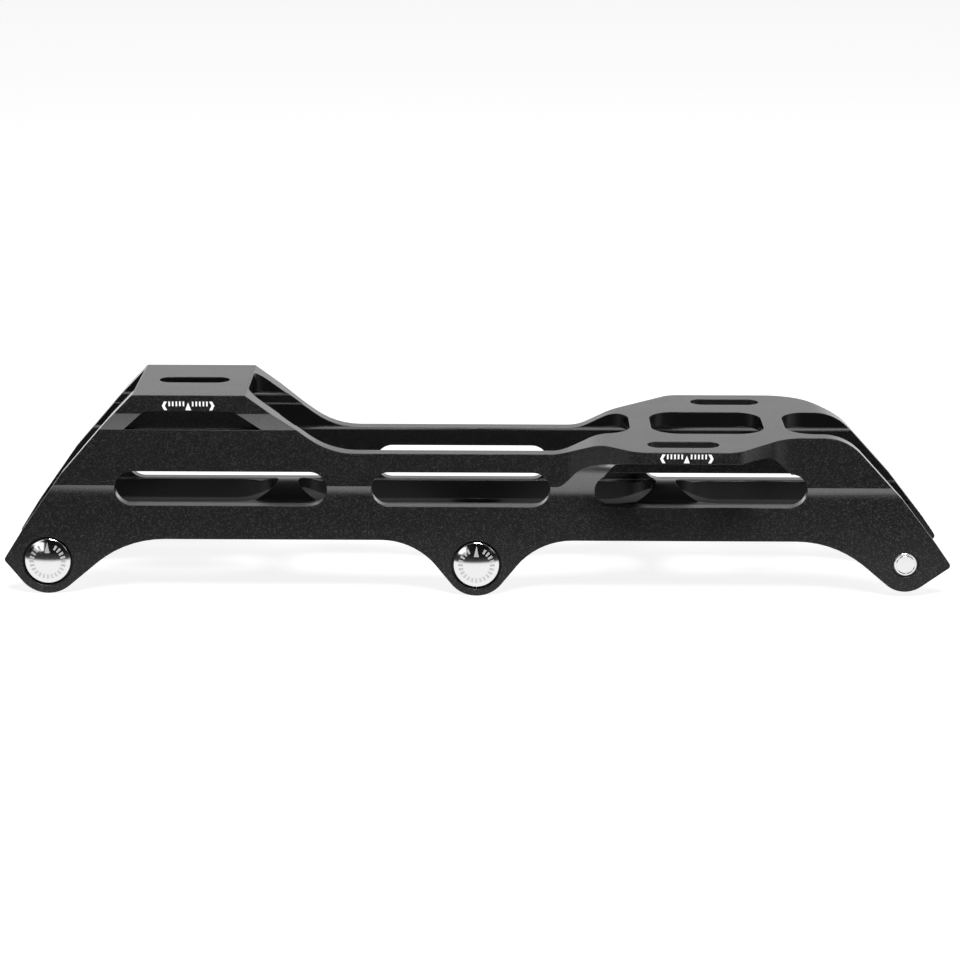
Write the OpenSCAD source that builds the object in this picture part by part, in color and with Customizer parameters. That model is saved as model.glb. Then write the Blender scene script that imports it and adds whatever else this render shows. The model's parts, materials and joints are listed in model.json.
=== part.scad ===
// Three-wheel inline skate frame: one milled aluminium extrusion and three screw-in wheel axles.
// X runs towards the toe, Y across the frame and Z up. The middle axle stands over the origin.

/* [Axle positions] */
// Distance from the rear axle to the front axle
wheelbase = 235; // [215:1:260]
// Height of the middle axle above the lowest point of the frame
axle_h = 8.75; // [8.4:0.05:9]
// How far the two end axles sit above the middle one
rocker = 0.6; // [0:0.1:1.2]

/* [Side outline] */
// How far the point at the rear end reaches past its axle
rear_tip_overhang = 12; // [11.5:0.1:13]
// How far above its axle that point sits
rear_tip_rise = 0.35; // [0:0.05:0.8]
// How far the point at the front end reaches past its axle
front_tip_overhang = 12.6; // [12:0.1:13.5]
// How far below its axle that point sits
front_tip_drop = 0.5; // [0:0.05:1]
// Rounding of both points
tip_r = 1; // [0.6:0.1:1.6]
// Radius of the nose round the rear axle
rear_nose_r = 9.05; // [8.6:0.05:9.3]
// Radius of the nose round the front axle
front_nose_r = 7.7; // [7.6:0.05:8.5]
// Height of the straight lower edge between the noses
lower_edge_h = 15.75; // [15:0.05:16.5]
// Slope of the straight flank beside the middle nose
middle_flank_slope = 51; // [47:0.5:55]
// Rounding between that flank and the lower edge
middle_flank_r = 19.5; // [12:0.5:20]
// Slope of the straight flank beside each end nose
end_flank_slope = 40.2; // [38:0.2:44]
// Rounding between that flank and the lower edge
end_flank_r = 29; // [20:0.5:33]
// Height of the front plate's top face
plate_h = 45; // [43:0.1:47]
// How far below that face the two open rails run
rail_drop = 4.8; // [4.2:0.1:5.4]
// Height of the rear deck's top face
deck_h = 56.6; // [52:0.1:61]
// Distance from the rear axle forward to the rear deck
deck_inset = 24.4; // [23:0.1:26]
// Length of the rear deck
deck_l = 30.5; // [27:0.5:34]
// Rounding of the deck's two top corners
deck_corner_r = 1.2; // [0.6:0.2:1.6]
// Length of the climb from the rail up to the deck
deck_ramp_l = 22.6; // [20:0.2:25]
// Rounding at the foot of that climb
deck_ramp_r = 21.6; // [18:0.2:23]
// How far the rear end's edge bows out at its middle
rear_bow = 3; // [1.2:0.1:4]
// How far the front end's edge bows out at its middle
front_bow = 1.95; // [0.6:0.05:2.4]
// Radius of the bend along the middle of both edges
bend_r = 200; // [120:5:200]
// Distance from the front axle back to where the front plate's top turns down
toe_inset = 17.6; // [17:0.1:18.2]
// Rounding of that turn
toe_r = 14; // [11:0.5:15]
// Distance from the outer front slot back to the start of the front plate
plate_reach = 22.3; // [21.8:0.1:23]
// How much further forward the plate starts on the inner side
plate_stagger = 5; // [3:0.2:6]
// Length of the climb from the rail up to the front plate
plate_ramp_l = 10; // [9:0.2:12]
// Rounding at both ends of that climb
plate_ramp_r = 12; // [8:0.5:13]

/* [Cross section] */
// Half width over the lower walls
lower_half = 17.25; // [17.1:0.05:17.4]
// Half width over the upper walls
upper_half = 17.8; // [17.7:0.1:18.2]
// Half width of the rear deck
deck_half = 19.7; // [19:0.1:20.5]
// Height of the hollow under the wings, from its start on the wall to the front plate's top
cove_depth = 17.7; // [17.3:0.1:18]
// Radius of the hollow under the wings
cove_r = 12.7; // [12.4:0.1:13]
// Slope of the underside of the wings beyond that curve
wing_slope = 15; // [13:0.5:16]
// Height of the rear deck's sloping flank and its edge
flank_depth = 10; // [9.4:0.1:10.2]
// Height of the rear deck's upright edge
deck_edge = 5.1; // [4.8:0.1:5.6]
// Thickness of the rear deck
deck_t = 6; // [5.6:0.1:6.4]
// Depth of the channel under the rear deck
upper_channel_d = 3.7; // [3.2:0.1:3.9]
// Rounding of that channel's top corners
upper_channel_r = 1.7; // [1:0.1:2]
// Thickness of the front plate between the walls
plate_t = 3.9; // [3.4:0.1:4.2]
// Half width of the channels
channel_half = 14; // [13.8:0.1:14.2]
// Rounding of the channels' corners
channel_r = 2; // [1:0.2:2.4]
// Height of the vaulted web's crown
web_crown = 28.3; // [27.6:0.1:29]
// Radius of the vault's outer face
web_r = 20; // [18:0.2:22]
// Thickness of the web at its crown
web_t = 2.8; // [2.4:0.1:3.2]
// Height of the flat gutters between the vault and the walls
gutter_h = 25.2; // [24.6:0.1:25.2]

/* [Milled recesses] */
// How far the ledge of the deck recess runs out behind the deck
flank_ledge_rear = 2.7; // [2.2:0.1:3.2]
// How far the ledge of the deck recess runs out ahead of the deck
flank_ledge_front = 4.4; // [3.9:0.1:4.9]
// Distance from each end of the deck to the top corner of the recess
flank_pocket_inset = 3.2; // [2.8:0.1:3.8]
// Distance from the deck's top face to the top of the recess
flank_pocket_cover = 4.4; // [4:0.1:4.8]
// Half width between the floors of the two deck recesses
flank_pocket_half = 16.2; // [16:0.1:16.6]
// Rounding of the deck recess's top corners
flank_pocket_r = 3; // [2:0.2:4]
// Distance from the front plate's top face to the top of the recess under each wing
wing_t = 3.6; // [3.4:0.1:3.8]
// How far the wing recess's rear end leans forward from the end of the window
wing_pocket_rear_lean = 6.5; // [6:0.1:7]
// How far the wing recess's front end leans back from the end of the window
wing_pocket_front_lean = 10.9; // [10.4:0.1:11.4]
// Rounding of the wing recess's rear corner
wing_pocket_rear_r = 4; // [3:0.5:6]
// Rounding of the wing recess's front corner
wing_pocket_front_r = 8; // [6:0.5:10]

/* [Front wings and mounting slots] */
// Half width over the two wings
wing_half = 35; // [32:0.5:38]
// Distance from a slot's middle back to the rear end of its wing at the wall
wing_rear_root = 31.3; // [30:0.1:32]
// Distance from the outer slot's middle back to the wing's rear corner
outer_wing_rear = 13.2; // [12:0.2:14.4]
// Distance from the outer slot's middle forward to the wing's front corner
outer_wing_front = 14.4; // [13:0.2:15.4]
// Distance from the outer slot's middle forward to the wing's front end at the wall
outer_wing_front_root = 28.6; // [27.6:0.2:30]
// Distance from the inner slot's middle back to the wing's rear corner
inner_wing_rear = 15.4; // [14:0.2:16.6]
// Distance from the inner slot's middle forward to the wing's front corner
inner_wing_front = 19.6; // [18.4:0.2:20.4]
// Distance from the inner slot's middle forward to the wing's front end at the wall
inner_wing_front_root = 29.8; // [28.6:0.2:30.8]
// Rounding of the wings' corners, seen from above
wing_r = 6; // [4:0.5:7]
// Rounding between the front of each wing and the wall
wing_front_root_r = 12; // [6:0.5:13]
// Rounding of the inner wing's front corner
inner_wing_front_r = 14; // [10:0.5:15]
// Length of each mounting slot, end to end
slot_l = 19.4; // [18:0.2:20]
// Width of each mounting slot
slot_w = 7.2; // [6.4:0.1:7.6]
// Distance from a wing's outer edge to the middle of its slot
slot_inset = 8.9; // [8.5:0.1:9.3]
// Distance from the front axle back to the middle of the outer slot
outer_slot_inset = 62; // [61.5:0.1:62.5]
// How much further forward the inner slot sits
slot_stagger = 14.6; // [14:0.1:15]

/* [Side windows] */
// Distance from the top of the rails down to the middle of the windows
window_drop = 10.1; // [9.7:0.1:10.1]
// Height of each window opening
window_w = 9.7; // [9.2:0.1:9.7]
// Distance from the rear axle forward to the rear window
rear_window_inset = 18.8; // [18.4:0.1:19.4]
// Distance from the front axle back to the front window
front_window_inset = 27.4; // [27:0.1:28]
// Length of the middle window
middle_window_l = 48.8; // [44:0.2:54]
// Wall left between two windows
window_gap = 12; // [11:0.2:14]

/* [Wheel bays] */
// Half width of the wheel bays cut through the lower web
bay_half = 12.8; // [12.6:0.1:13]
// How much nearer to the middle axle than to the end axle each cross rib stands
rib_offset = 6.35; // [4:0.25:8]
// Thickness of each cross rib at its waist
rib_t = 5.4; // [4:0.2:7]
// Half width of the openings cut through the top
opening_half = 13.3; // [13.1:0.1:13.5]
// Gap between the rear deck and the long opening in front of it
deck_lip = 0.3; // [0.2:0.1:0.8]
// Rounding of the long opening's rear corners
deck_opening_r = 4; // [3:0.5:5]
// Distance from the outer slot forward to the centre of the opening in the front plate
plate_opening_offset = 7.8; // [7.4:0.1:8.2]
// Length of the opening in the front plate
plate_opening_l = 31; // [29:0.2:32]
// Width of the two bridges beside that opening
bridge_w = 5.8; // [5:0.1:6.4]
// Rounding of the other openings' corners
opening_r = 8; // [5:0.5:10]

/* [Axles] */
// Diameter of the shank that the wheel bearings sit on
shank_d = 8; // [7.8:0.1:8.2]
// Diameter of the threaded end
thread_d = 7; // [6.6:0.1:7.2]
// Diameter of the head
head_d = 12.6; // [12:0.1:13]
// Thickness of the head at its rim
head_rim = 1.7; // [1.4:0.1:2]
// How far the head's dome rises above its rim
dome = 0.9; // [0.5:0.1:1.2]
// Depth of the seat for the head
seat_depth = 1.9; // [1.6:0.1:2.1]
// Gap round the head in its seat
seat_gap = 0.6; // [0.3:0.05:0.65]
// Gap round the shank and the threaded end in their holes
fit_gap = 0.05; // [0.02:0.01:0.09]
// Distance between the bosses that clamp the wheel bearings
boss_gap = 24.4; // [24.1:0.1:25]
// Diameter of those bosses
boss_d = 14.4; // [13:0.2:15]
// Chamfer at the threaded end
thread_chamfer = 0.5; // [0.3:0.1:0.7]

/* [Hidden] */
$fn = 96;
frame_black = [0.06, 0.06, 0.065];
polished_steel = [0.82, 0.82, 0.84];

end_axle_x = wheelbase / 2;
end_axle_h = axle_h + rocker;
rear_axle_at = [-end_axle_x, end_axle_h];
middle_axle_at = [0, axle_h];
front_axle_at = [end_axle_x, end_axle_h];

deck_rear_x = deck_inset - end_axle_x;
deck_front_x = deck_rear_x + deck_l;
deck_ramp_foot_x = deck_front_x + deck_ramp_l;
rear_slot_x = (deck_rear_x + deck_front_x) / 2;
outer_slot_x = end_axle_x - outer_slot_inset;
inner_slot_x = outer_slot_x + slot_stagger;
front_slot_y = wing_half - slot_inset;
plate_opening_x = outer_slot_x + plate_opening_offset;
rib_x = end_axle_x / 2 - rib_offset;
plate_start_x = outer_slot_x - plate_reach;

windows_rear_x = rear_window_inset - end_axle_x;
windows_front_x = end_axle_x - front_window_inset;
end_window_l = (windows_front_x - windows_rear_x - middle_window_l) / 2 - window_gap;
front_window_x = windows_front_x - end_window_l;
middle_window_x = front_window_x - window_gap - middle_window_l;

rail_h = plate_h - rail_drop;
window_h = rail_h - window_drop;
cove_h = plate_h - cove_depth;
plate_low = plate_h - plate_t;
wing_low = plate_h - wing_t;
web_centre_h = web_crown - web_r;
web_low = web_crown - web_t;
flank_low = deck_h - flank_depth;
flank_high = deck_h - deck_edge;
deck_low = deck_h - deck_t;
upper_channel_low = deck_low - upper_channel_d;

// Most of an end's edge that its bend may take
bent_share = 0.7;

// Cutting shapes run past what they cut by these lengths
past = 1;
below = 10;
above = 80;
reach = 160;

// Points along an arc, one every six degrees or closer
function arc(c, r, a, b) =
    let (n = max(1, ceil(abs(b - a) / 6)))
    [for (i = [0 : n]) c + r * [cos(a + (b - a) * i / n), sin(a + (b - a) * i / n)]];

function unit(v) = v / norm(v);
function turn(u, v) = u.x * v.y - u.y * v.x;

// The corner at q between p and s, rounded to radius r
function rounded(p, q, s, r) =
    let (
        u = unit(p - q),
        v = unit(s - q),
        half = acos(u * v) / 2,
        c = q + unit(u + v) * r / sin(half),
        from = q + u * r / tan(half) - c,
        a = atan2(from.y, from.x),
        sweep = -sign(turn(u, v)) * (180 - 2 * half)
    )
    r == 0 ? [q] : arc(c, r, a, a + sweep);

// A closed outline from corners [x, y, radius]
function outline(corners) =
    let (n = len(corners))
    [
        for (i = [0 : n - 1])
            let (p = corners[(i + n - 1) % n], q = corners[i], s = corners[(i + 1) % n])
            each rounded([p.x, p.y], [q.x, q.y], [s.x, s.y], q[2])
    ];

// The rounding from a nose's straight flank out to the lower edge, towards +X if side is 1
function flank(at, r, slope, fillet, side) =
    let (
        out = [side * sin(slope), -cos(slope)],
        up = [side * cos(slope), sin(slope)],
        foot = at + (r + fillet) * out,
        c = foot + (lower_edge_h - fillet - foot.y) / up.y * up
    )
    arc(c, fillet, 90 + side * slope, 90);

// Direction from a nose's axle to where the line from the end's point touches it
function tip_angle(at, tip, r, side) =
    let (
        v = tip - at,
        a = atan2(v.y, side * v.x) - acos(r / norm(v))
    )
    side > 0 ? a : -180 - a;

function on_circle(c, r, a) = c + r * [cos(a), sin(a)];
function reversed(list) = [for (i = [len(list) - 1 : -1 : 0]) list[i]];

// Where an end's edge from a to b bows out, and the radius of the bend there
function bow_at(a, b, bow) = (a + b) / 2 + bow * unit([a.y - b.y, b.x - a.x]);
function bow_r(a, b, bow) = min(bend_r, bent_share * (b - a) * (b - a) / (4 * bow));

// The climb from the rail to the front plate, whose top starts at x
function plate_climb(x) =
    let (
        top = [x, plate_h],
        foot = [x - plate_ramp_l, rail_h]
    )
    concat(
        rounded([-reach, rail_h], foot, top, plate_ramp_r),
        rounded(foot, top, [reach, plate_h], plate_ramp_r)
    );

// Side view of the whole frame
function side_outline() =
    let (
        rear_tip = rear_axle_at + [-rear_tip_overhang, rear_tip_rise],
        front_tip = front_axle_at + [front_tip_overhang, -front_tip_drop],
        rear_touch = tip_angle(rear_axle_at, rear_tip, rear_nose_r, -1),
        front_touch = tip_angle(front_axle_at, front_tip, front_nose_r, 1),
        rear_low = on_circle(rear_axle_at, rear_nose_r, rear_touch),
        front_low = on_circle(front_axle_at, front_nose_r, front_touch),
        deck_back = [deck_rear_x, deck_h],
        deck_fore = [deck_front_x, deck_h],
        ramp_foot = [deck_ramp_foot_x, rail_h],
        toe_top = [end_axle_x - toe_inset, plate_h],
        rear_bend = bow_at(rear_tip, deck_back, rear_bow),
        front_bend = bow_at(toe_top, front_tip, front_bow)
    )
    concat(
        rounded(rear_low, rear_tip, rear_bend, tip_r),
        rounded(rear_tip, rear_bend, deck_back, bow_r(rear_tip, deck_back, rear_bow)),
        rounded(rear_bend, deck_back, deck_fore, deck_corner_r),
        rounded(deck_back, deck_fore, ramp_foot, deck_corner_r),
        rounded(deck_fore, ramp_foot, [reach, rail_h], deck_ramp_r),
        plate_climb(plate_start_x),
        rounded([-reach, plate_h], toe_top, front_bend, toe_r),
        rounded(toe_top, front_bend, front_tip, bow_r(toe_top, front_tip, front_bow)),
        rounded(front_bend, front_tip, front_low, tip_r),
        arc(front_axle_at, front_nose_r, front_touch, -90 - end_flank_slope),
        flank(front_axle_at, front_nose_r, end_flank_slope, end_flank_r, -1),
        reversed(flank(middle_axle_at, axle_h, middle_flank_slope, middle_flank_r, 1)),
        arc(middle_axle_at, axle_h, middle_flank_slope - 90, -90 - middle_flank_slope),
        flank(middle_axle_at, axle_h, middle_flank_slope, middle_flank_r, -1),
        reversed(flank(rear_axle_at, rear_nose_r, end_flank_slope, end_flank_r, 1)),
        arc(rear_axle_at, rear_nose_r, end_flank_slope - 90, rear_touch)
    );

// An outline drawn in the side view, made solid across the frame
module across(from = -reach, to = reach) {
    translate([0, to, 0])
        rotate([90, 0, 0])
            linear_extrude(to - from)
                children();
}

// An outline drawn in the cross section, made solid along the frame
module along(from = -reach, to = reach) {
    rotate([90, 0, 90])
        translate([0, 0, from])
            linear_extrude(to - from)
                children();
}

module both_sides() {
    children();
    mirror([0, 1, 0])
        children();
}

// A slot with full round ends, from a to b along X
module round_slot(a, b, w) {
    translate([a + w / 2, 0])
        circle(d = w);
    translate([b - w / 2, 0])
        circle(d = w);
    translate([a + w / 2, -w / 2])
        square([b - a - w, w]);
}

// Plan view of one wall and its wing, on the +Y side
module wall_plan(centre, rear, front, front_root, front_r) {
    polygon(outline([
        [-reach, -past, 0],
        [reach, -past, 0],
        [reach, upper_half, 0],
        [centre + front_root, upper_half, wing_front_root_r],
        [centre + front, wing_half, front_r],
        [centre - rear, wing_half, wing_r],
        [centre - wing_rear_root, upper_half, wing_r],
        [-reach, upper_half, 0]
    ]));
}

// The space below a wing: a round hollow that runs out along a slope
module under_wing() {
    c = [lower_half + cove_r, cove_h];
    touch = on_circle(c, cove_r, 90 + wing_slope);
    run = wing_half + past - touch.x;
    rotate([90, 0, 90])
        translate([c.x, c.y, -reach])
            cylinder(r = cove_r, h = 2 * reach);
    along()
        polygon([
            [lower_half, -below],
            [lower_half, c.y],
            c,
            touch,
            touch + run * [1, tan(wing_slope)],
            [wing_half + past, -below]
        ]);
}

// The extrusion's outside, before the side view is cut
module extruded_shape() {
    difference() {
        union() {
            translate([0, 0, -below])
                linear_extrude(below + above)
                    wall_plan(
                        inner_slot_x,
                        inner_wing_rear,
                        inner_wing_front,
                        inner_wing_front_root,
                        inner_wing_front_r
                    );
            translate([0, 0, -below])
                linear_extrude(below + above)
                    mirror([0, 1])
                        wall_plan(
                            outer_slot_x,
                            outer_wing_rear,
                            outer_wing_front,
                            outer_wing_front_root,
                            wing_r
                        );
        }
        both_sides()
            under_wing();
    }
    along(-reach, deck_ramp_foot_x)
        polygon([
            [-upper_half, flank_low],
            [upper_half, flank_low],
            [deck_half, flank_high],
            [deck_half, above],
            [-deck_half, above],
            [-deck_half, flank_high]
        ]);
}

// A round bar along the whole frame, up to the given height
module long_bar(r, top) {
    rotate([90, 0, 90])
        translate([0, top - r, -reach])
            cylinder(r = r, h = 2 * reach);
}

// The extruded channels: under the vault, between the vault and the plate, and under the rear deck
module channels() {
    intersection() {
        translate([-reach, -channel_half, -below])
            cube([2 * reach, 2 * channel_half, below + web_crown]);
        union() {
            long_bar(web_r - web_t, web_low);
            translate([-reach, -channel_half, -below])
                cube([2 * reach, 2 * channel_half, below + web_centre_h]);
        }
    }
    difference() {
        along()
            polygon(outline([
                [-channel_half, gutter_h, 0],
                [channel_half, gutter_h, 0],
                [channel_half, plate_low, channel_r],
                [-channel_half, plate_low, channel_r]
            ]));
        long_bar(web_r, web_crown);
    }
    along(-reach, deck_ramp_foot_x)
        polygon(outline([
            [-channel_half, upper_channel_low, 0],
            [channel_half, upper_channel_low, 0],
            [channel_half, deck_low, upper_channel_r],
            [-channel_half, deck_low, upper_channel_r]
        ]));
}

// Wheel bays through the web, leaving a waisted rib between each two
module wheel_bays() {
    translate([0, 0, web_centre_h])
        linear_extrude(web_r + past) {
            round_slot(-reach, -rib_x - rib_t / 2, 2 * bay_half);
            round_slot(-rib_x + rib_t / 2, rib_x - rib_t / 2, 2 * bay_half);
            round_slot(rib_x + rib_t / 2, reach, 2 * bay_half);
        }
}

// A rounded opening from a to b, cut up from the middle channel to the given height
module top_opening(a, b, r, top = above) {
    bottom = plate_low - channel_r;
    translate([0, 0, bottom])
        linear_extrude(top - bottom)
            polygon(outline([
                [a, -opening_half, r],
                [b, -opening_half, r],
                [b, opening_half, r],
                [a, opening_half, r]
            ]));
}

module top_openings() {
    plate_opening_rear = plate_opening_x - plate_opening_l / 2;
    plate_opening_front = plate_opening_x + plate_opening_l / 2;
    long_opening_rear = deck_front_x + deck_lip;
    top_opening(-reach, deck_rear_x, 0);
    top_opening(-reach, 0, 0, upper_channel_low + past);
    top_opening(long_opening_rear, 0, deck_opening_r);
    top_opening(long_opening_rear + 2 * deck_opening_r, plate_opening_rear - bridge_w, opening_r);
    top_opening(plate_opening_rear, plate_opening_front, opening_r);
    top_opening(plate_opening_front + bridge_w, reach, opening_r);
}

// A window through the +Y wall, from its rear end at x
module window(x, l) {
    across(channel_half - past, reach)
        translate([0, window_h])
            round_slot(x, x + l, window_w);
}

// The recess above a front window, which leaves the wing as a thin plate
module wing_recess(x) {
    across(lower_half, reach)
        polygon(outline([
            [x, window_h, 0],
            [x + end_window_l, window_h, 0],
            [x + end_window_l - wing_pocket_front_lean, wing_low, wing_pocket_front_r],
            [x + wing_pocket_rear_lean, wing_low, wing_pocket_rear_r]
        ]));
}

// The front window and recess stand further forward on the inner side, as the wing there does
module windows() {
    both_sides() {
        window(windows_rear_x, end_window_l);
        window(middle_window_x, middle_window_l);
    }
    window(front_window_x + slot_stagger, end_window_l);
    wing_recess(front_window_x + slot_stagger);
    mirror([0, 1, 0]) {
        window(front_window_x, end_window_l);
        wing_recess(front_window_x);
    }
}

// Recesses that leave the rear deck's edges as a thin plate
module deck_recesses() {
    both_sides()
        across(flank_pocket_half, reach)
            polygon(outline([
                [deck_rear_x - flank_ledge_rear, flank_low, 0],
                [deck_front_x + flank_ledge_front, flank_low, 0],
                [deck_front_x - flank_pocket_inset, deck_h - flank_pocket_cover, flank_pocket_r],
                [deck_rear_x + flank_pocket_inset, deck_h - flank_pocket_cover, flank_pocket_r]
            ]));
}

// What the later climb to the plate leaves open on the inner side
module inner_climb() {
    climb = plate_climb(plate_start_x + plate_stagger);
    start = plate_climb(plate_start_x)[0].x;
    finish = climb[len(climb) - 1].x;
    across(0, reach)
        polygon(concat([[start, rail_h]], climb, [[finish, above], [start, above]]));
}

module mounting_slots() {
    translate([outer_slot_x, -front_slot_y, 0])
        linear_extrude(above)
            round_slot(-slot_l / 2, slot_l / 2, slot_w);
    translate([inner_slot_x, front_slot_y, 0])
        linear_extrude(above)
            round_slot(-slot_l / 2, slot_l / 2, slot_w);
    translate([rear_slot_x, 0, deck_low - past])
        linear_extrude(above)
            round_slot(-slot_l / 2, slot_l / 2, slot_w);
}

// A round bar across the frame, at an axle's place
module cross_bar(at, d, from, to) {
    translate([at.x, to, at.y])
        rotate([90, 0, 0])
            cylinder(d = d, h = to - from);
}

module bosses(at) {
    both_sides()
        cross_bar(at, boss_d, boss_gap / 2, channel_half + past);
}

// The holes for one axle, with the head's seat on the -Y side
module axle_holes(at) {
    cross_bar(at, shank_d + 2 * fit_gap, -reach, 0);
    cross_bar(at, head_d + 2 * seat_gap, -reach, seat_depth - lower_half);
    cross_bar(at, thread_d + 2 * fit_gap, -past, reach);
}

module frame_body() {
    color(frame_black)
        difference() {
            union() {
                difference() {
                    intersection() {
                        extruded_shape();
                        across()
                            polygon(side_outline());
                    }
                    channels();
                    wheel_bays();
                    top_openings();
                    windows();
                    deck_recesses();
                    inner_climb();
                    mounting_slots();
                }
                for (at = [rear_axle_at, middle_axle_at, front_axle_at])
                    bosses(at);
            }
            axle_holes(rear_axle_at);
            axle_holes(middle_axle_at);
            mirror([0, 1, 0])
                axle_holes(front_axle_at);
        }
}

// One axle as a turned bar: domed head, shank and threaded end with a chamfer
module axle(at) {
    seat = lower_half - seat_depth;
    shoulder = seat + boss_gap / 2;
    tip = seat + lower_half;
    head_r = head_d / 2;
    thread_r = thread_d / 2;
    crown_r = (head_r * head_r + dome * dome) / (2 * dome);
    crown_a = asin(head_r / crown_r);
    translate([at.x, -seat, at.y])
        rotate([-90, 0, 0])
            rotate_extrude()
                polygon(concat(
                    arc([0, crown_r - head_rim - dome], crown_r, -90, crown_a - 90),
                    [
                        [head_r, 0],
                        [shank_d / 2, 0],
                        [shank_d / 2, shoulder],
                        [thread_r, shoulder],
                        [thread_r, tip - thread_chamfer],
                        [thread_r - thread_chamfer, tip],
                        [0, tip]
                    ]
                ));
}

module rear_axle() {
    color(polished_steel)
        axle(rear_axle_at);
}

module middle_axle() {
    color(polished_steel)
        axle(middle_axle_at);
}

module front_axle() {
    color(polished_steel)
        mirror([0, 1, 0])
            axle(front_axle_at);
}

frame_body();
rear_axle();
middle_axle();
front_axle();
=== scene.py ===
"""The looks of a three-wheel inline skate frame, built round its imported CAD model."""

import json
import math
from functools import partial

import bmesh
import bpy
from mathutils import Matrix, Vector


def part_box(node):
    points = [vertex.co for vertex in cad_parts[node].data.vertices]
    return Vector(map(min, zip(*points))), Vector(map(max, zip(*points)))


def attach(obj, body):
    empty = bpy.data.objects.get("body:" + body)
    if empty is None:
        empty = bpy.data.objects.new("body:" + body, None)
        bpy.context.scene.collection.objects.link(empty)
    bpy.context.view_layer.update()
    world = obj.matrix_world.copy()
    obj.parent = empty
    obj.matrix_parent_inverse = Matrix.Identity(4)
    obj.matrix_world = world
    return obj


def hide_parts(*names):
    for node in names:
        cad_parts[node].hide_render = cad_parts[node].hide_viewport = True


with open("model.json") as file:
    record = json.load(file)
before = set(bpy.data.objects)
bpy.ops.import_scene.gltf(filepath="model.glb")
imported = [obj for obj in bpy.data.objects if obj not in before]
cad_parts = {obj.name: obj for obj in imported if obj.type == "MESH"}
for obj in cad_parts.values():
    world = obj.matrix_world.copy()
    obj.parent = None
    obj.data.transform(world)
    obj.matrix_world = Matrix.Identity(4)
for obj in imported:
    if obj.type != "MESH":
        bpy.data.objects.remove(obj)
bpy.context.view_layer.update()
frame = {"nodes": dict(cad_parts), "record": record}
scene = bpy.context.scene
scene.view_settings.view_transform = "Standard"


# The camera stands low in front of the outer side of the frame and looks a little down on it,
# with a long lens, as in a catalogue picture.
image_px = 960
focal_px = 3100
sensor_mm = 36
camera_at = (0.004808, -0.834854, 0.239677)
camera_down = math.radians(14.2)
camera_turn = math.radians(0.2713)
camera_roll = math.radians(0.1716)

camera = bpy.data.objects.new("camera", bpy.data.cameras.new("camera"))
camera.data.sensor_width = sensor_mm
camera.data.lens = sensor_mm * focal_px / image_px
camera.data.clip_start = 0.01
camera.data.clip_end = 50
camera.matrix_world = (
    Matrix.Translation(camera_at)
    @ Matrix.Rotation(camera_turn, 4, "Z")
    @ Matrix.Rotation(math.pi / 2 - camera_down, 4, "X")
    @ Matrix.Rotation(camera_roll, 4, "Z")
)
scene.collection.objects.link(camera)
scene.camera = camera


# The frame body is one aluminium extrusion, milled to shape, blasted to a fine even grain and
# anodised satin black. Its milled edges are broken by a very small round that catches the light.
def set_inputs(tree, node, inputs):
    """Each input of the node gets its value, or a link from the output given for it."""
    for socket, value in inputs.items():
        if isinstance(value, bpy.types.NodeSocket):
            tree.links.new(value, node.inputs[socket])
        else:
            node.inputs[socket].default_value = value


def add_node(tree, kind, inputs=None, **properties):
    """A shader node with its properties and inputs set."""
    node = tree.nodes.new(kind)
    for name, setting in properties.items():
        setattr(node, name, setting)
    set_inputs(tree, node, inputs or {})
    return node


def maths(tree, operation, *values):
    """The outcome of a Math node on these values."""
    inputs = dict(enumerate(values))
    return add_node(tree, "ShaderNodeMath", inputs, operation=operation).outputs[0]


def ramp(tree, value, start, end, to_start=0.0, to_end=1.0, **properties):
    """A value carried over from one span to another, and held at the ends."""
    spans = {"From Min": start, "From Max": end, "To Min": to_start, "To Max": to_end}
    return add_node(tree, "ShaderNodeMapRange", {"Value": value, **spans}, **properties).outputs[0]


def blend(tree, kind, share, first, second):
    """A blend of two values or colours: all of the second where the share is 1."""
    inputs = {"Factor": share, "A": first, "B": second}
    return add_node(tree, "ShaderNodeMix", inputs, data_type=kind).outputs["Result"]


def new_material(name):
    """A material with a plain Principled BSDF, and its node tree and shader."""
    material = bpy.data.materials.new(name)
    material.use_nodes = True
    tree = material.node_tree
    return material, tree, tree.nodes["Principled BSDF"]


def blasted_grain():
    """Fine even grain: a height for bump, a mask of specks (painted glints on the walls, worn spots
    in the ink), and wide soft patches.
    """
    group = bpy.data.node_groups.new("blasted grain", "ShaderNodeTree")
    for name, value in (("Grain Size", 0.0004), ("Speck Share", 0.2)):
        socket = group.interface.new_socket(name, in_out="INPUT", socket_type="NodeSocketFloat")
        socket.default_value = value
    for name in ("Height", "Specks", "Patches"):
        group.interface.new_socket(name, in_out="OUTPUT", socket_type="NodeSocketFloat")
    chosen = add_node(group, "NodeGroupInput").outputs
    place = add_node(group, "ShaderNodeTexCoord").outputs["Object"]
    per_metre = maths(group, "DIVIDE", 1.0, chosen["Grain Size"])
    fine = {"Vector": place, "Scale": per_metre, "Detail": 2.0, "Roughness": 0.6}
    grain = add_node(group, "ShaderNodeTexNoise", fine).outputs["Fac"]
    speck_top = 0.8
    speck_floor = maths(group, "SUBTRACT", speck_top, chosen["Speck Share"])
    wide = {"Vector": place, "Scale": 70.0, "Detail": 3.0}
    results = {
        "Height": grain,
        "Specks": ramp(group, grain, speck_floor, speck_top),
        "Patches": add_node(group, "ShaderNodeTexNoise", wide).outputs["Fac"],
    }
    add_node(group, "NodeGroupOutput", results)
    return group


grain_group = blasted_grain()


def place_grain(tree, values=None):
    """The outputs of the blasted grain, placed in a material with its own values."""
    return add_node(tree, "ShaderNodeGroup", values, node_tree=grain_group).outputs


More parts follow.
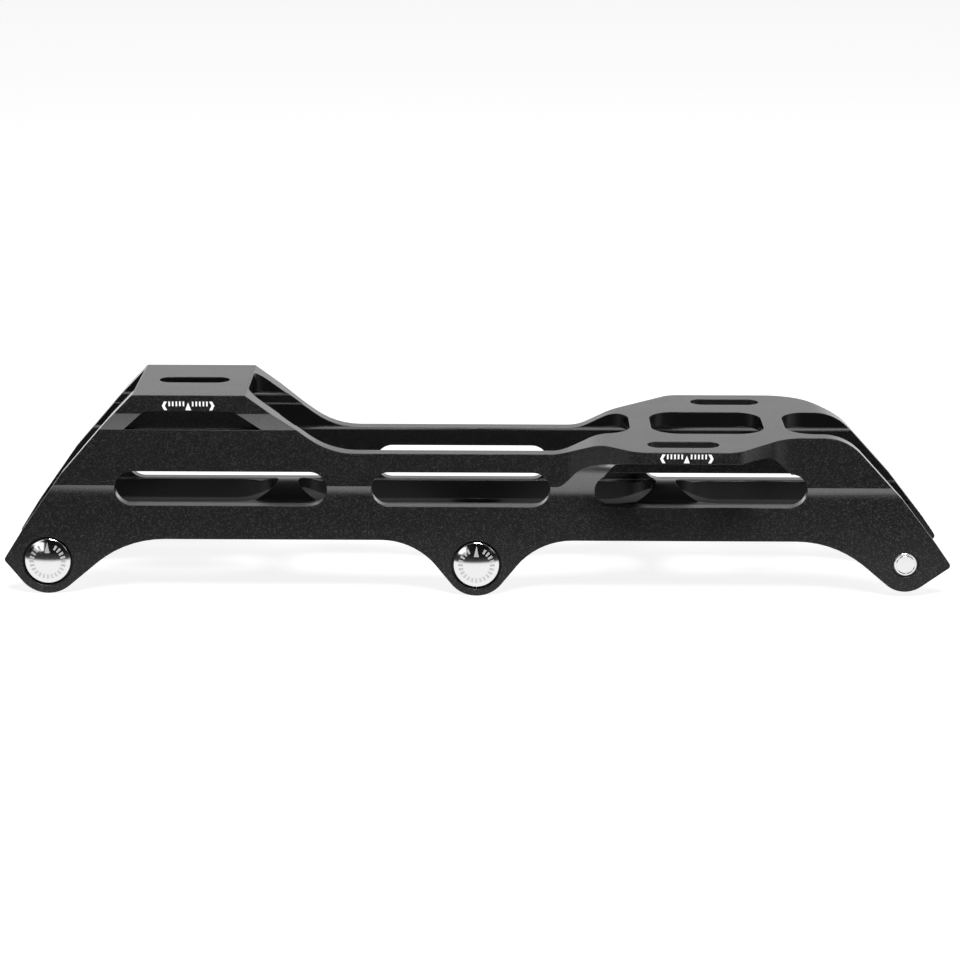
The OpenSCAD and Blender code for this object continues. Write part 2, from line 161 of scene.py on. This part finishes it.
def anodised_black():
    """Black anodising: matt on the blasted walls with painted glints in the grain, duller and
    darkened by painted shade in the channel, satin where milled.
    """
    material, tree, shader = new_material("anodised_black")
    calc, fade = partial(maths, tree), partial(ramp, tree)

    upright_tilt = (0.14, 0.03)
    end_facing = (0.7, 0.8)
    channel_top = (0.036, 0.033)
    channel_side = (0.0142, 0.0139)
    place = add_node(tree, "ShaderNodeTexCoord").outputs
    at = add_node(tree, "ShaderNodeSeparateXYZ", {0: place["Object"]}).outputs
    facing = add_node(tree, "ShaderNodeSeparateXYZ", {0: place["Normal"]}).outputs
    upright = fade(calc("ABSOLUTE", facing["Z"]), *upright_tilt)
    on_ends = fade(calc("ABSOLUTE", facing["X"]), *end_facing)
    below_decks = fade(at["Z"], *channel_top)
    between_walls = fade(calc("ABSOLUTE", at["Y"]), *channel_side)
    in_channel = calc("MULTIPLY", between_walls, calc("MAXIMUM", upright, below_decks))
    matt = calc("MAXIMUM", upright, in_channel)

    wall_black = (0.009, 0.009, 0.0092, 1)
    # The lighter specks are painted glints: grey in the colour that stands for grains of the blast
    # catching the light.
    glint_grey = (0.075, 0.075, 0.076, 1)
    # The channel colour is painted shade: the inside of the channel is anodised like the walls, and
    # is darker here only to stand for the shade between the walls.
    channel_shade_black = (0.004, 0.004, 0.0041, 1)
    smoothest, roughest = 0.26, 0.36
    end_roughness = 0.12
    grain = place_grain(tree, {"Grain Size": 0.0003, "Speck Share": 0.27})
    grain_with_glints = blend(tree, "RGBA", grain["Specks"], wall_black, glint_grey)
    uneven = fade(grain["Patches"], 0.0, 1.0, smoothest, roughest)
    broken_edge = add_node(tree, "ShaderNodeBevel", {"Radius": 0.00045}, samples=6).outputs[0]
    relief = {
        "Strength": 0.3,
        "Distance": 0.00008,
        "Height": grain["Height"],
        "Normal": broken_edge,
    }
    finish = {
        "Base Color": blend(tree, "RGBA", in_channel, grain_with_glints, channel_shade_black),
        "Metallic": 0.0,
        "Roughness": blend(tree, "FLOAT", on_ends, uneven, end_roughness),
        "IOR": 1.35,
        "Coat Weight": fade(matt, 1.0, 0.0),
        "Coat Roughness": 0.25,
        "Coat IOR": 2.15,
        "Normal": add_node(tree, "ShaderNodeBump", relief).outputs[0],
    }
    set_inputs(tree, shader, finish)
    return material


body_mesh = frame["nodes"]["frame_body"].data
body_mesh.materials.clear()
body_mesh.materials.append(anodised_black())


# The axles are one-piece turned steel bolts, polished bright. The domed head sits in a seat in
# one wall, the shank carries the wheel bearings, and the threaded end screws into the other wall.
head_r = 0.0063
head_rim = 0.0017
head_dome = 0.0009
head_round = 0.0003
dome_steps = 24
round_steps = 4
shank_r = 0.004
shoulder_y = 0.02755
thread_r = 0.0035
thread_pitch = 0.001
thread_depth = 0.00055
thread_steps = 10
tip_y = 0.0326
tip_r = 0.003
end_groove_r = 0.0025
end_groove = 0.00012
end_steps = 4
turned_sides = 96
sharp_angle = math.radians(28)


def thread_radius(y, turn):
    """Radius of the thread at this place along the axle and this share of a turn."""
    height = 1 - abs(2 * ((y / thread_pitch - turn) % 1) - 1)
    run_in = min(1, (y - shoulder_y) / thread_pitch, (tip_y - y) / thread_pitch)
    cone = tip_r + tip_y - y
    return min(cone, thread_r - thread_depth * max(0, run_in) * (1 - height))


def axle_stations():
    """Rings of the axle, head to end: place along it, and radius (None on the thread)."""
    crown_r = (head_r ** 2 + head_dome ** 2) / (2 * head_dome)
    crown_y = crown_r - head_rim - head_dome
    dome_r = head_r - head_round
    stations = []
    for step in range(1, dome_steps + 1):
        r = dome_r * step / dome_steps
        stations.append((crown_y - math.sqrt(crown_r ** 2 - r ** 2), r))
    rim_y = stations[-1][0] + head_round
    for step in range(1, round_steps + 1):
        turn = math.pi / 2 * step / round_steps
        across = dome_r + head_round * math.sin(turn)
        stations.append((rim_y - head_round * math.cos(turn), across))
    stations += [(0, head_r), (0, shank_r)]
    stations += [(shoulder_y - head_round, shank_r), (shoulder_y, thread_r)]
    thread_rings = round((tip_y - shoulder_y) / thread_pitch * thread_steps)
    for step in range(1, thread_rings):
        stations.append((shoulder_y + (tip_y - shoulder_y) * step / thread_rings, None))
    outer, inner = end_groove_r + end_groove, end_groove_r - end_groove
    stations += [(tip_y, tip_r), (tip_y, outer), (tip_y - end_groove, end_groove_r)]
    stations += [(tip_y, inner * step / end_steps) for step in range(end_steps, 0, -1)]
    return stations


def finished_mesh(build, name, material):
    """The mesh that was built, with its faces turned outwards and in one material."""
    bmesh.ops.recalc_face_normals(build, faces=build.faces)
    mesh = bpy.data.meshes.new(name)
    build.to_mesh(mesh)
    build.free()
    mesh.materials.append(material)
    return mesh


def turned_axle(name, material):
    """One axle as a mesh along Y, with its head's seat at the origin."""
    build = bmesh.new()
    rings = []
    for y, r in axle_stations():
        ring = []
        for side in range(turned_sides):
            turn = side / turned_sides
            across = thread_radius(y, turn) if r is None else r
            angle = 2 * math.pi * turn
            ring.append(build.verts.new((across * math.cos(angle), y, across * math.sin(angle))))
        rings.append(ring)
    for ring, following in zip(rings, rings[1:]):
        for side in range(turned_sides):
            beside = (side + 1) % turned_sides
            build.faces.new((ring[side], following[side], following[beside], ring[beside]))
    build.faces.new(rings[0])
    build.faces.new(rings[-1][::-1])
    mesh = finished_mesh(build, name, material)
    mesh.shade_smooth()
    mesh.set_sharp_from_angle(angle=sharp_angle)
    return mesh


def etched_marks(tree, x, z, radius):
    """Where the head is etched: a ring of short marks, with room left in it for a pointer."""
    calc = partial(maths, tree)
    etch_count = 24
    etch_share = 0.54
    ring_from, ring_to = 0.0037, 0.005
    tail_z, point_z = 0.0024, 0.0054
    point_slope = 0.24
    point_room = 0.07
    turn = calc("DIVIDE", calc("ARCTAN2", x, z), 2 * math.pi)
    step = calc("FRACT", calc("ADD", calc("MULTIPLY", turn, etch_count), 0.5))
    on_mark = calc("LESS_THAN", calc("ABSOLUTE", calc("SUBTRACT", step, 0.5)), etch_share / 2)
    off_pointer = calc("GREATER_THAN", calc("ABSOLUTE", turn), point_room)
    outside, inside = calc("GREATER_THAN", radius, ring_from), calc("LESS_THAN", radius, ring_to)
    in_ring = calc("MULTIPLY", outside, inside)
    marks = calc("MULTIPLY", calc("MULTIPLY", on_mark, off_pointer), in_ring)
    half_width = calc("MULTIPLY", calc("SUBTRACT", point_z, z), point_slope)
    above_tail = calc("GREATER_THAN", z, tail_z)
    pointer = calc("MULTIPLY", above_tail, calc("LESS_THAN", calc("ABSOLUTE", x), half_width))
    return calc("MAXIMUM", marks, pointer)


def polished_steel():
    """Bright steel: a polished head with etched marks, a ground shank and a turned end."""
    material, tree, shader = new_material("polished_steel")
    calc = partial(maths, tree)

    place = add_node(tree, "ShaderNodeTexCoord").outputs["Object"]
    parts = add_node(tree, "ShaderNodeSeparateXYZ", {0: place}).outputs
    x, y, z = parts["X"], parts["Y"], parts["Z"]
    radius = calc("SQRT", calc("ADD", calc("MULTIPLY", x, x), calc("MULTIPLY", z, z)))
    on_head = calc("LESS_THAN", y, -head_rim)
    on_end = calc("GREATER_THAN", y, tip_y - end_groove)
    on_shank = calc("SUBTRACT", calc("GREATER_THAN", y, 0.0), on_end)
    etched = calc("MULTIPLY", on_head, etched_marks(tree, x, z, radius))

    bright = (0.9, 0.9, 0.9, 1)
    etched_grey = (0.76, 0.76, 0.76, 1)
    smoothest, roughest = 0.06, 0.14
    ground_roughness = 0.3
    etched_roughness = 0.55
    line_pitch = 0.00016
    polish = ramp(tree, place_grain(tree)["Patches"], 0.0, 1.0, smoothest, roughest)
    ground = blend(tree, "FLOAT", on_shank, polish, ground_roughness)
    lines = calc("SINE", calc("MULTIPLY", radius, 2 * math.pi / line_pitch))
    relief = {"Strength": 0.5, "Distance": 0.0000016, "Height": calc("MULTIPLY", lines, on_end)}
    finish = {
        "Base Color": blend(tree, "RGBA", etched, bright, etched_grey),
        "Metallic": 1.0,
        "Roughness": blend(tree, "FLOAT", etched, ground, etched_roughness),
        "Normal": add_node(tree, "ShaderNodeBump", relief).outputs[0],
    }
    set_inputs(tree, shader, finish)
    return material


axle_mesh = turned_axle("turned_axle", polished_steel())
for axle, head_side in (("rear_axle", -1), ("middle_axle", -1), ("front_axle", 1)):
    low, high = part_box(axle)
    head_end = low[1] if head_side < 0 else high[1]
    seat_y = head_end - head_side * (head_rim + head_dome)
    piece = bpy.data.objects.new(axle + "_turned", axle_mesh)
    piece.location = ((low[0] + high[0]) / 2, seat_y, (low[2] + high[2]) / 2)
    piece.rotation_euler = (0, 0, 0 if head_side < 0 else math.pi)
    scene.collection.objects.link(piece)
    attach(piece, axle + "_body")
    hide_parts(axle)


# Beside two of the mounting slots, the outer side carries a printed scale for setting the boot:
# short marks either side of a pointer, between two arrow heads, in white ink.
ink_t = 0.00004
mark_pitch = 0.00096
first_mark = 0.00125
mark_count = 5
mark_w, mark_h = 0.00042, 0.0013
pointer_w, pointer_h = 0.0016, 0.0021
arrow_w, arrow_h = 0.0014, 0.0024
arrow_stroke = 0.00078
arrow_from_pointer = 0.0071
rear_scale_top = 0.0549
front_scale_top = 0.0445
front_scale_shift = 0.00045


def white_ink():
    """Flat white printing ink, a little uneven where the grain shows through."""
    material, tree, shader = new_material("white_ink")
    full_white = (0.9, 0.9, 0.9, 1)
    worn_white = (0.7, 0.7, 0.7, 1)
    grain = place_grain(tree, {"Grain Size": 0.00045, "Speck Share": 0.1})
    colour = blend(tree, "RGBA", grain["Specks"], full_white, worn_white)
    set_inputs(tree, shader, {"Base Color": colour, "Roughness": 0.6})
    return material


def scale_outlines():
    """Outlines of one scale in its own plane, from the top of its marks down."""
    shapes = []
    for side in (-1, 1):
        for step in range(mark_count):
            x = side * (first_mark + step * mark_pitch)
            left, right = x - mark_w / 2, x + mark_w / 2
            shapes.append([(left, -mark_h), (right, -mark_h), (right, 0), (left, 0)])
        tip = side * arrow_from_pointer
        back = tip - side * arrow_w
        stroke = side * arrow_stroke
        upper = [(tip, -arrow_h / 2), (back + stroke, 0), (back, 0)]
        lower = [(tip - stroke, -arrow_h / 2), (back, -arrow_h), (back + stroke, -arrow_h)]
        shapes.append(upper + lower)
    base = -arrow_h
    shapes.append([(-pointer_w / 2, base), (pointer_w / 2, base), (0, base + pointer_h)])
    return shapes


def printed_scale(name, x, y, top, material):
    """The scale as a thin layer of ink on an upright face that looks towards -Y."""
    build = bmesh.new()
    for outline in scale_outlines():
        front = [build.verts.new((x + a, y - ink_t, top + b)) for a, b in outline]
        back = [build.verts.new((x + a, y, top + b)) for a, b in outline]
        build.faces.new(front)
        build.faces.new(back[::-1])
        for i in range(len(outline)):
            j = (i + 1) % len(outline)
            build.faces.new((front[j], front[i], back[i], back[j]))
    piece = bpy.data.objects.new(name, finished_mesh(build, name, material))
    scene.collection.objects.link(piece)
    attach(piece, "frame")


ink = white_ink()
mounts = {mount["name"]: mount["pos_m"] for mount in frame["record"]["mounts"]}
rear_scale_x = mounts["rear_slot"][0]
front_scale_x = mounts["outer_front_slot"][0] + front_scale_shift
deck_side_y = -0.0197
wing_side_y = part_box("frame_body")[0][1]
printed_scale("rear_scale", rear_scale_x, deck_side_y, rear_scale_top, ink)
printed_scale("front_scale", front_scale_x, wing_side_y, front_scale_top, ink)


# The frame stands on a white sheet that runs on behind it, in a studio that is bright behind and
# overhead and dark on the camera's side.
sheet_half = 3.0
corners = [(-1, -1), (1, -1), (1, 1), (-1, 1)]
sheet_corners = [(x * sheet_half, y * sheet_half, 0) for x, y in corners]
floor_mesh = bpy.data.meshes.new("floor")
floor_mesh.from_pydata(sheet_corners, [], [(0, 1, 2, 3)])
floor = bpy.data.objects.new("floor", floor_mesh)
scene.collection.objects.link(floor)


# How bright the sheet is in mirrors, by its distance behind the frame. The bands run a little
# aslant, and give the polished heads their horizon and the coves their band of light.
sheet_from, sheet_to = -0.3, 0.5
sheet_slant = 0.06
sheet_levels = (
    (-0.24, 0.01),
    (-0.07, 0.04),
    (-0.058, 0.97),
    (0.06, 0.97),
    (0.075, 0.06),
    (0.13, 0.06),
    (0.2, 1.0),
)


def grey_along(tree, share, levels):
    """The grey at this share of the way along stops, each a share and its level."""
    node = add_node(tree, "ShaderNodeValToRGB", {"Fac": share})
    stops = node.color_ramp.elements
    while len(stops) < len(levels):
        stops.new(0.5)
    for stop, (position, level) in zip(stops, levels):
        stop.position = position
        stop.color = (level, level, level, 1)
    return node.outputs["Color"]


def white_sheet():
    """White paper: full white to the camera apart from the shadow, and in bands in mirrors."""
    material, tree, shader = new_material("white_sheet")
    set_inputs(tree, shader, {"Base Color": (0.8, 0.8, 0.8, 1), "Roughness": 0.9})
    lit = add_node(tree, "ShaderNodeBsdfDiffuse", {"Color": (0.3, 0.3, 0.3, 1)}).outputs[0]
    glow = add_node(tree, "ShaderNodeEmission", {"Strength": 0.86}).outputs[0]
    seen = add_node(tree, "ShaderNodeAddShader", {0: lit, 1: glow}).outputs[0]

    place = add_node(tree, "ShaderNodeTexCoord").outputs["Object"]
    parts = add_node(tree, "ShaderNodeSeparateXYZ", {0: place}).outputs
    slanted_y = maths(tree, "MULTIPLY_ADD", parts["X"], sheet_slant, parts["Y"])
    along = ramp(tree, slanted_y, sheet_from, sheet_to)
    levels = [((y - sheet_from) / (sheet_to - sheet_from), level) for y, level in sheet_levels]
    bands = grey_along(tree, along, levels)
    mirrored = add_node(tree, "ShaderNodeEmission", {"Color": bands}).outputs[0]

    rays = add_node(tree, "ShaderNodeLightPath").outputs
    reflected = maths(tree, "MAXIMUM", rays["Is Glossy Ray"], rays["Is Transmission Ray"])
    by_ray = {0: reflected, 1: shader.outputs[0], 2: mirrored}
    unseen = add_node(tree, "ShaderNodeMixShader", by_ray).outputs[0]
    by_camera = {0: rays["Is Camera Ray"], 1: unseen, 2: seen}
    surface = add_node(tree, "ShaderNodeMixShader", by_camera).outputs[0]
    set_inputs(tree, tree.nodes["Material Output"], {"Surface": surface})
    return material


floor_mesh.materials.append(white_sheet())

# The backdrop fades towards the camera's side and with height, under a dim ceiling. To the camera
# itself it is plain white.
backdrop_span, backdrop_dark, backdrop_bright = (-0.3, 0.35), 0.01, 0.95
backdrop_levels = ((0.08, 1.0), (0.18, 0.5), (0.28, 0.5), (0.55, 0.05))
ceiling_span, ceiling_bright = (0.3, 0.75), 0.12
world = bpy.data.worlds.new("studio")
world.use_nodes = True
scene.world = world
studio = world.node_tree
direction = add_node(studio, "ShaderNodeTexCoord").outputs["Generated"]
heading = add_node(studio, "ShaderNodeSeparateXYZ", {0: direction}).outputs
smooth_ramp = partial(ramp, studio, interpolation_type="SMOOTHSTEP")
behind = smooth_ramp(heading["Y"], *backdrop_span, backdrop_dark, backdrop_bright)
backdrop = maths(studio, "MULTIPLY", behind, grey_along(studio, heading["Z"], backdrop_levels))
ceiling = smooth_ramp(heading["Z"], *ceiling_span, 0.0, ceiling_bright)
brighter = maths(studio, "MAXIMUM", backdrop, ceiling)
to_camera = add_node(studio, "ShaderNodeLightPath").outputs["Is Camera Ray"]
strength = maths(studio, "MAXIMUM", brighter, to_camera)
set_inputs(studio, studio.nodes["Background"], {"Color": (1, 1, 1, 1), "Strength": strength})


def soft_lamp(name, at, size, watts):
    """A square soft box that looks at the frame."""
    lamp = bpy.data.lights.new(name, "AREA")
    lamp.size = size
    lamp.energy = watts
    stand = bpy.data.objects.new(name, lamp)
    stand.location = at
    stand.rotation_euler = (-Vector(at)).to_track_quat("-Z", "Y").to_euler()
    scene.collection.objects.link(stand)


soft_lamp("top_lamp", at=(0.1, -0.68, 1.18), size=0.5, watts=25)
soft_lamp("left_lamp", at=(-1.25, -3.2, 0.3), size=0.8, watts=2.5)
soft_lamp("right_lamp", at=(1.7, -3.2, 0.8), size=0.9, watts=2.5)
